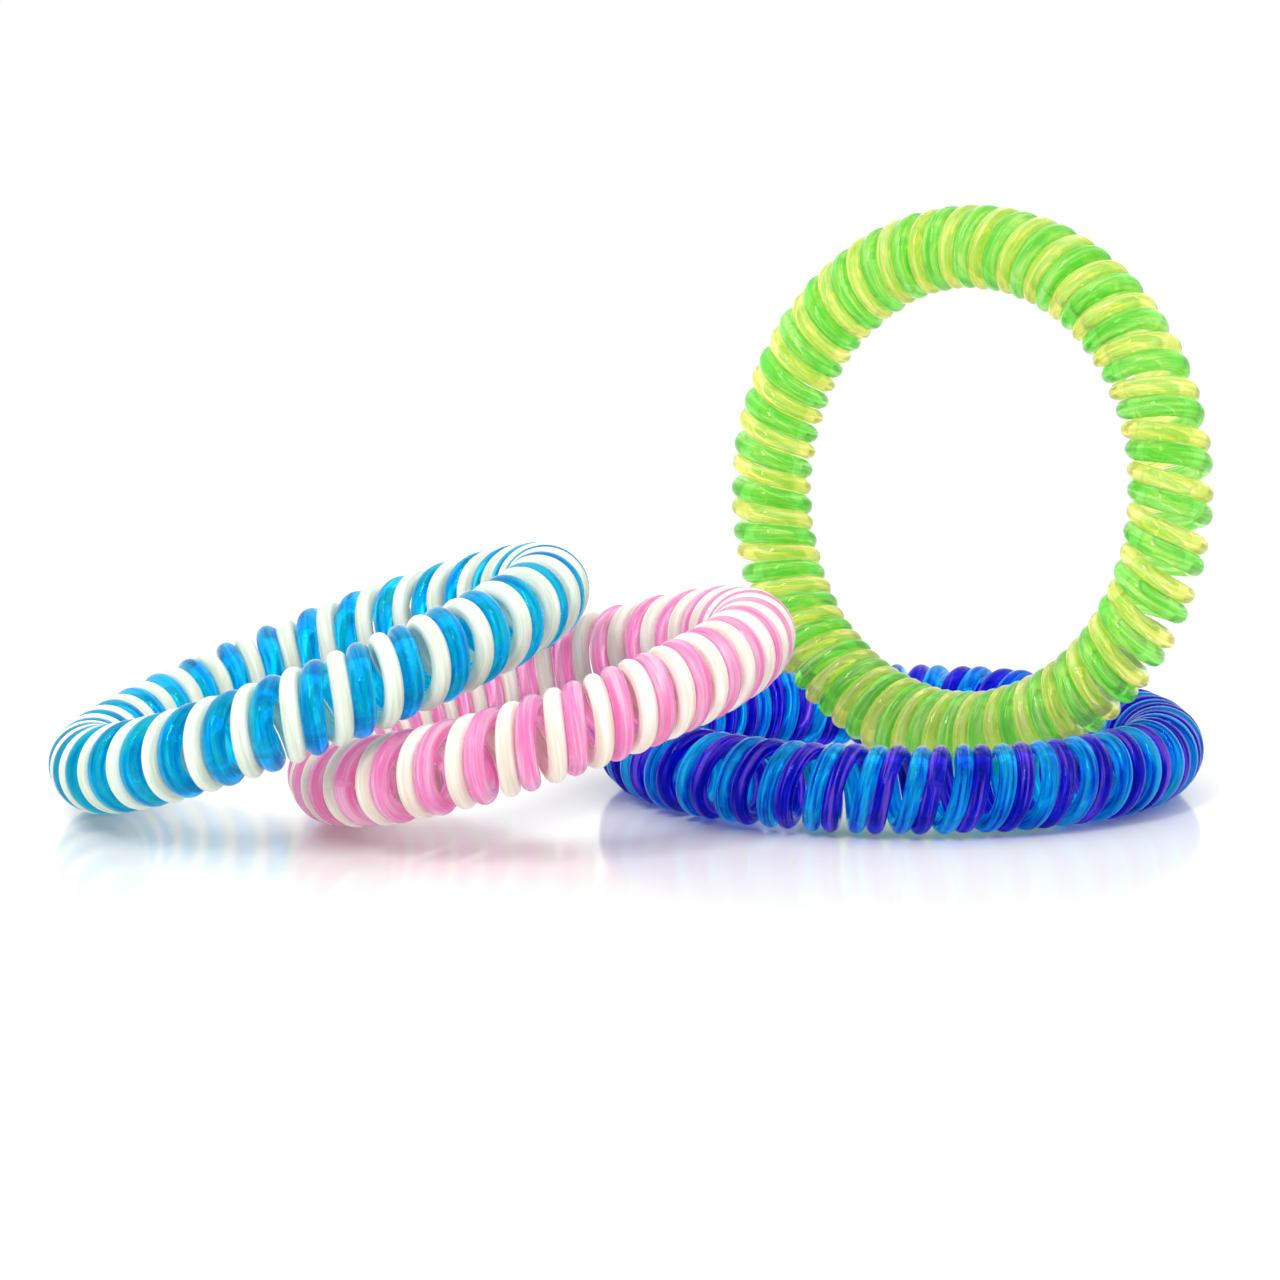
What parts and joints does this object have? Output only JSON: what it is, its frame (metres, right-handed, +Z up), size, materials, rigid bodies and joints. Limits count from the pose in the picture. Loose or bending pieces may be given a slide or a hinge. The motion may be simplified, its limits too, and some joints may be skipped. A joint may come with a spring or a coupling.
{
  "type": "spring coil ring set",
  "caption": "Stack of stretchy coil rings, each made of two coloured cords wound side by side; worn on a wrist or stretched as a desk toy.",
  "frame": {"origin": "middle of the stack's footprint, on the table", "axes": "+X along the stack from the azure ring to the indigo ring, +Y away from the viewer, +Z up"},
  "size_m": [0.183, 0.1108, 0.0927],
  "materials": {
    "cyan_cord": "glossy, see-through",
    "violet_cord": "glossy, see-through",
    "green_cord": "glossy, see-through",
    "yellow_cord": "glossy, see-through",
    "cream_cord": "smooth, opaque",
    "pink_cord": "glossy, milky",
    "white_cord": "smooth, opaque",
    "blue_cord": "glossy, see-through"
  },
  "bodies": {
    "indigo_ring_left": {"indigo_ring.cyan_cord.left": "cyan_cord", "indigo_ring.violet_cord.left": "violet_cord"},
    "indigo_ring_right": {"indigo_ring.cyan_cord.right": "cyan_cord", "indigo_ring.violet_cord.right": "violet_cord"},
    "lime_ring_lower": {"lime_ring.green_cord.lower": "green_cord", "lime_ring.yellow_cord.lower": "yellow_cord"},
    "lime_ring_upper": {"lime_ring.green_cord.upper": "green_cord", "lime_ring.yellow_cord.upper": "yellow_cord"},
    "rose_ring_rear": {"rose_ring.cream_cord.rear": "cream_cord", "rose_ring.pink_cord.rear": "pink_cord"},
    "rose_ring_front": {"rose_ring.cream_cord.front": "cream_cord", "rose_ring.pink_cord.front": "pink_cord"},
    "azure_ring_rear": {"azure_ring.white_cord.rear": "white_cord", "azure_ring.blue_cord.rear": "blue_cord"},
    "azure_ring_front": {"azure_ring.white_cord.front": "white_cord", "azure_ring.blue_cord.front": "blue_cord"}
  },
  "joints": [
    {"name": "indigo_stretch", "type": "slide", "parent": "indigo_ring_left", "child": "indigo_ring_right", "axis": [1, 0, 0], "range_m": [0, 0.05], "stiffness_N_per_m": 60},
    {"name": "lime_lift", "type": "slide", "parent": "indigo_ring_left", "child": "lime_ring_lower", "axis": [0, 0, 1], "range_m": [0, 0.12]},
    {"name": "lime_stretch", "type": "slide", "parent": "lime_ring_lower", "child": "lime_ring_upper", "axis": [0.0575, 0.081, 0.9951], "range_m": [0, 0.05], "stiffness_N_per_m": 60},
    {"name": "rose_lift", "type": "slide", "parent": "indigo_ring_left", "child": "rose_ring_rear", "axis": [0, 0, 1], "range_m": [0, 0.1]},
    {"name": "rose_stretch", "type": "slide", "parent": "rose_ring_rear", "child": "rose_ring_front", "axis": [0.6355, -0.7402, 0.2197], "range_m": [0, 0.05], "stiffness_N_per_m": 60},
    {"name": "azure_lift", "type": "slide", "parent": "rose_ring_rear", "child": "azure_ring_rear", "axis": [0, 0, 1], "range_m": [0, 0.08]},
    {"name": "azure_stretch", "type": "slide", "parent": "azure_ring_rear", "child": "azure_ring_front", "axis": [-0.0785, -0.9969, 0], "range_m": [0, 0.05], "stiffness_N_per_m": 60}
  ]
}
